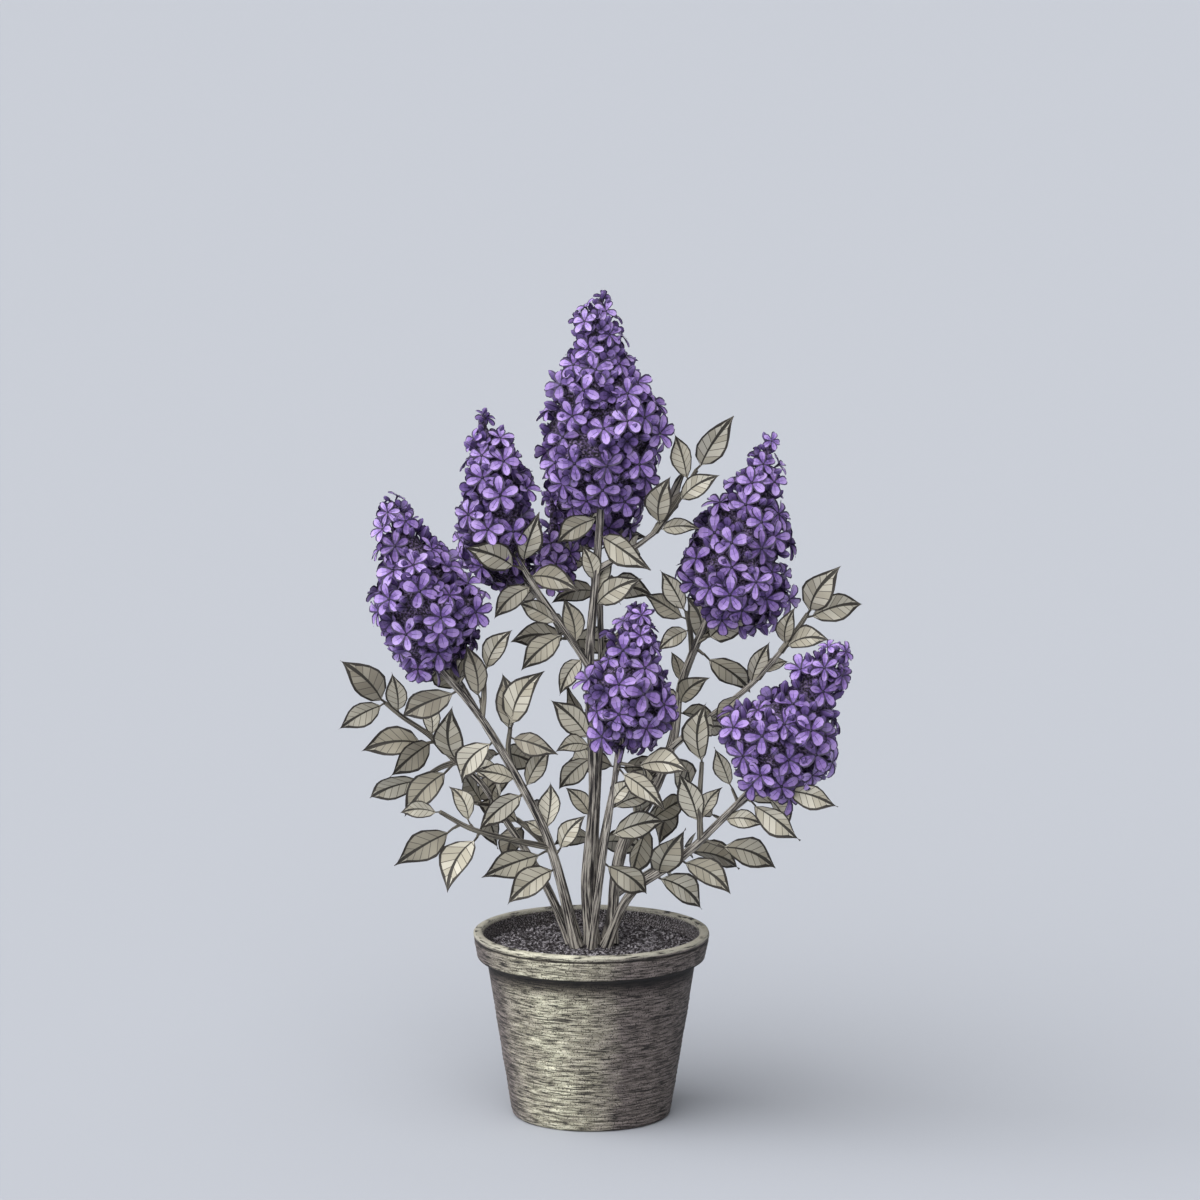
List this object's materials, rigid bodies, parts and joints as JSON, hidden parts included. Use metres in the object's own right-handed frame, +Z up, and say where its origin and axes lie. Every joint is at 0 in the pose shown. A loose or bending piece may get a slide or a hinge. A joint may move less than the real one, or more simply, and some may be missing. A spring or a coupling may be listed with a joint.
{
  "type": "lilac bush in pot",
  "caption": "Potted lilac bush in full bloom: woody stems fan out of a round banded pot into leafy shoots and upright tapering clusters of violet flowers.",
  "frame": {"origin": "centre of the pot's flat underside, on the surface the pot stands on", "axes": "+Z up along the pot's axis, -Y towards the bush's fuller side, +X to the right seen from that side"},
  "size_m": [0.5359, 0.383, 0.839],
  "materials": {
    "pot": "matte",
    "soil": "matte",
    "bark": "matte",
    "petals": "matte",
    "leaves": "matte"
  },
  "bodies": {
    "root": {"pot": "pot", "soil": "soil", "trunk": "bark", "stem_left": "bark", "stem_far_left": "bark", "stem_front": "bark", "stem_right": "bark", "stem_low_right": "bark", "stem_back": "bark", "stem_back_left": "bark", "stem_back_right": "bark", "bough_top_right": "bark", "bough_upper_left": "bark", "bough_upper_right": "bark", "bough_back_upper_left": "bark", "bough_back_right": "bark", "bough_back_low": "bark", "head_top": "petals", "head_upper_left": "petals", "head_small_left": "petals", "head_left": "petals", "head_upper_right": "petals", "head_front": "petals", "head_right": "petals", "head_back_top": "petals", "head_back_upper_left": "petals", "head_back_upper_right": "petals", "head_back_left": "petals", "head_back_right": "petals", "head_back_front": "petals", "leaves_top_right": "leaves", "leaves_top": "leaves", "leaves_upper_left_low": "leaves", "leaves_upper_left": "leaves", "leaves_far_left": "leaves", "leaves_left_reach": "leaves", "leaves_head_left": "leaves", "leaves_left": "leaves", "leaves_left_twig": "leaves", "leaves_inner_left": "leaves", "leaves_low_left": "leaves", "leaves_foot_left": "leaves", "leaves_centre": "leaves", "leaves_front": "leaves", "leaves_head_front": "leaves", "leaves_right_twig": "leaves", "leaves_right": "leaves", "leaves_right_reach": "leaves", "leaves_far_right": "leaves", "leaves_right_middle": "leaves", "leaves_low_right": "leaves", "leaves_foot_right": "leaves", "leaves_back_top": "leaves", "leaves_back_upper_left": "leaves", "leaves_back_upper_right": "leaves", "leaves_back_left": "leaves", "leaves_back_right": "leaves", "leaves_back": "leaves", "leaves_back_low_left": "leaves", "leaves_back_low_right": "leaves"}
  },
  "joints": []
}
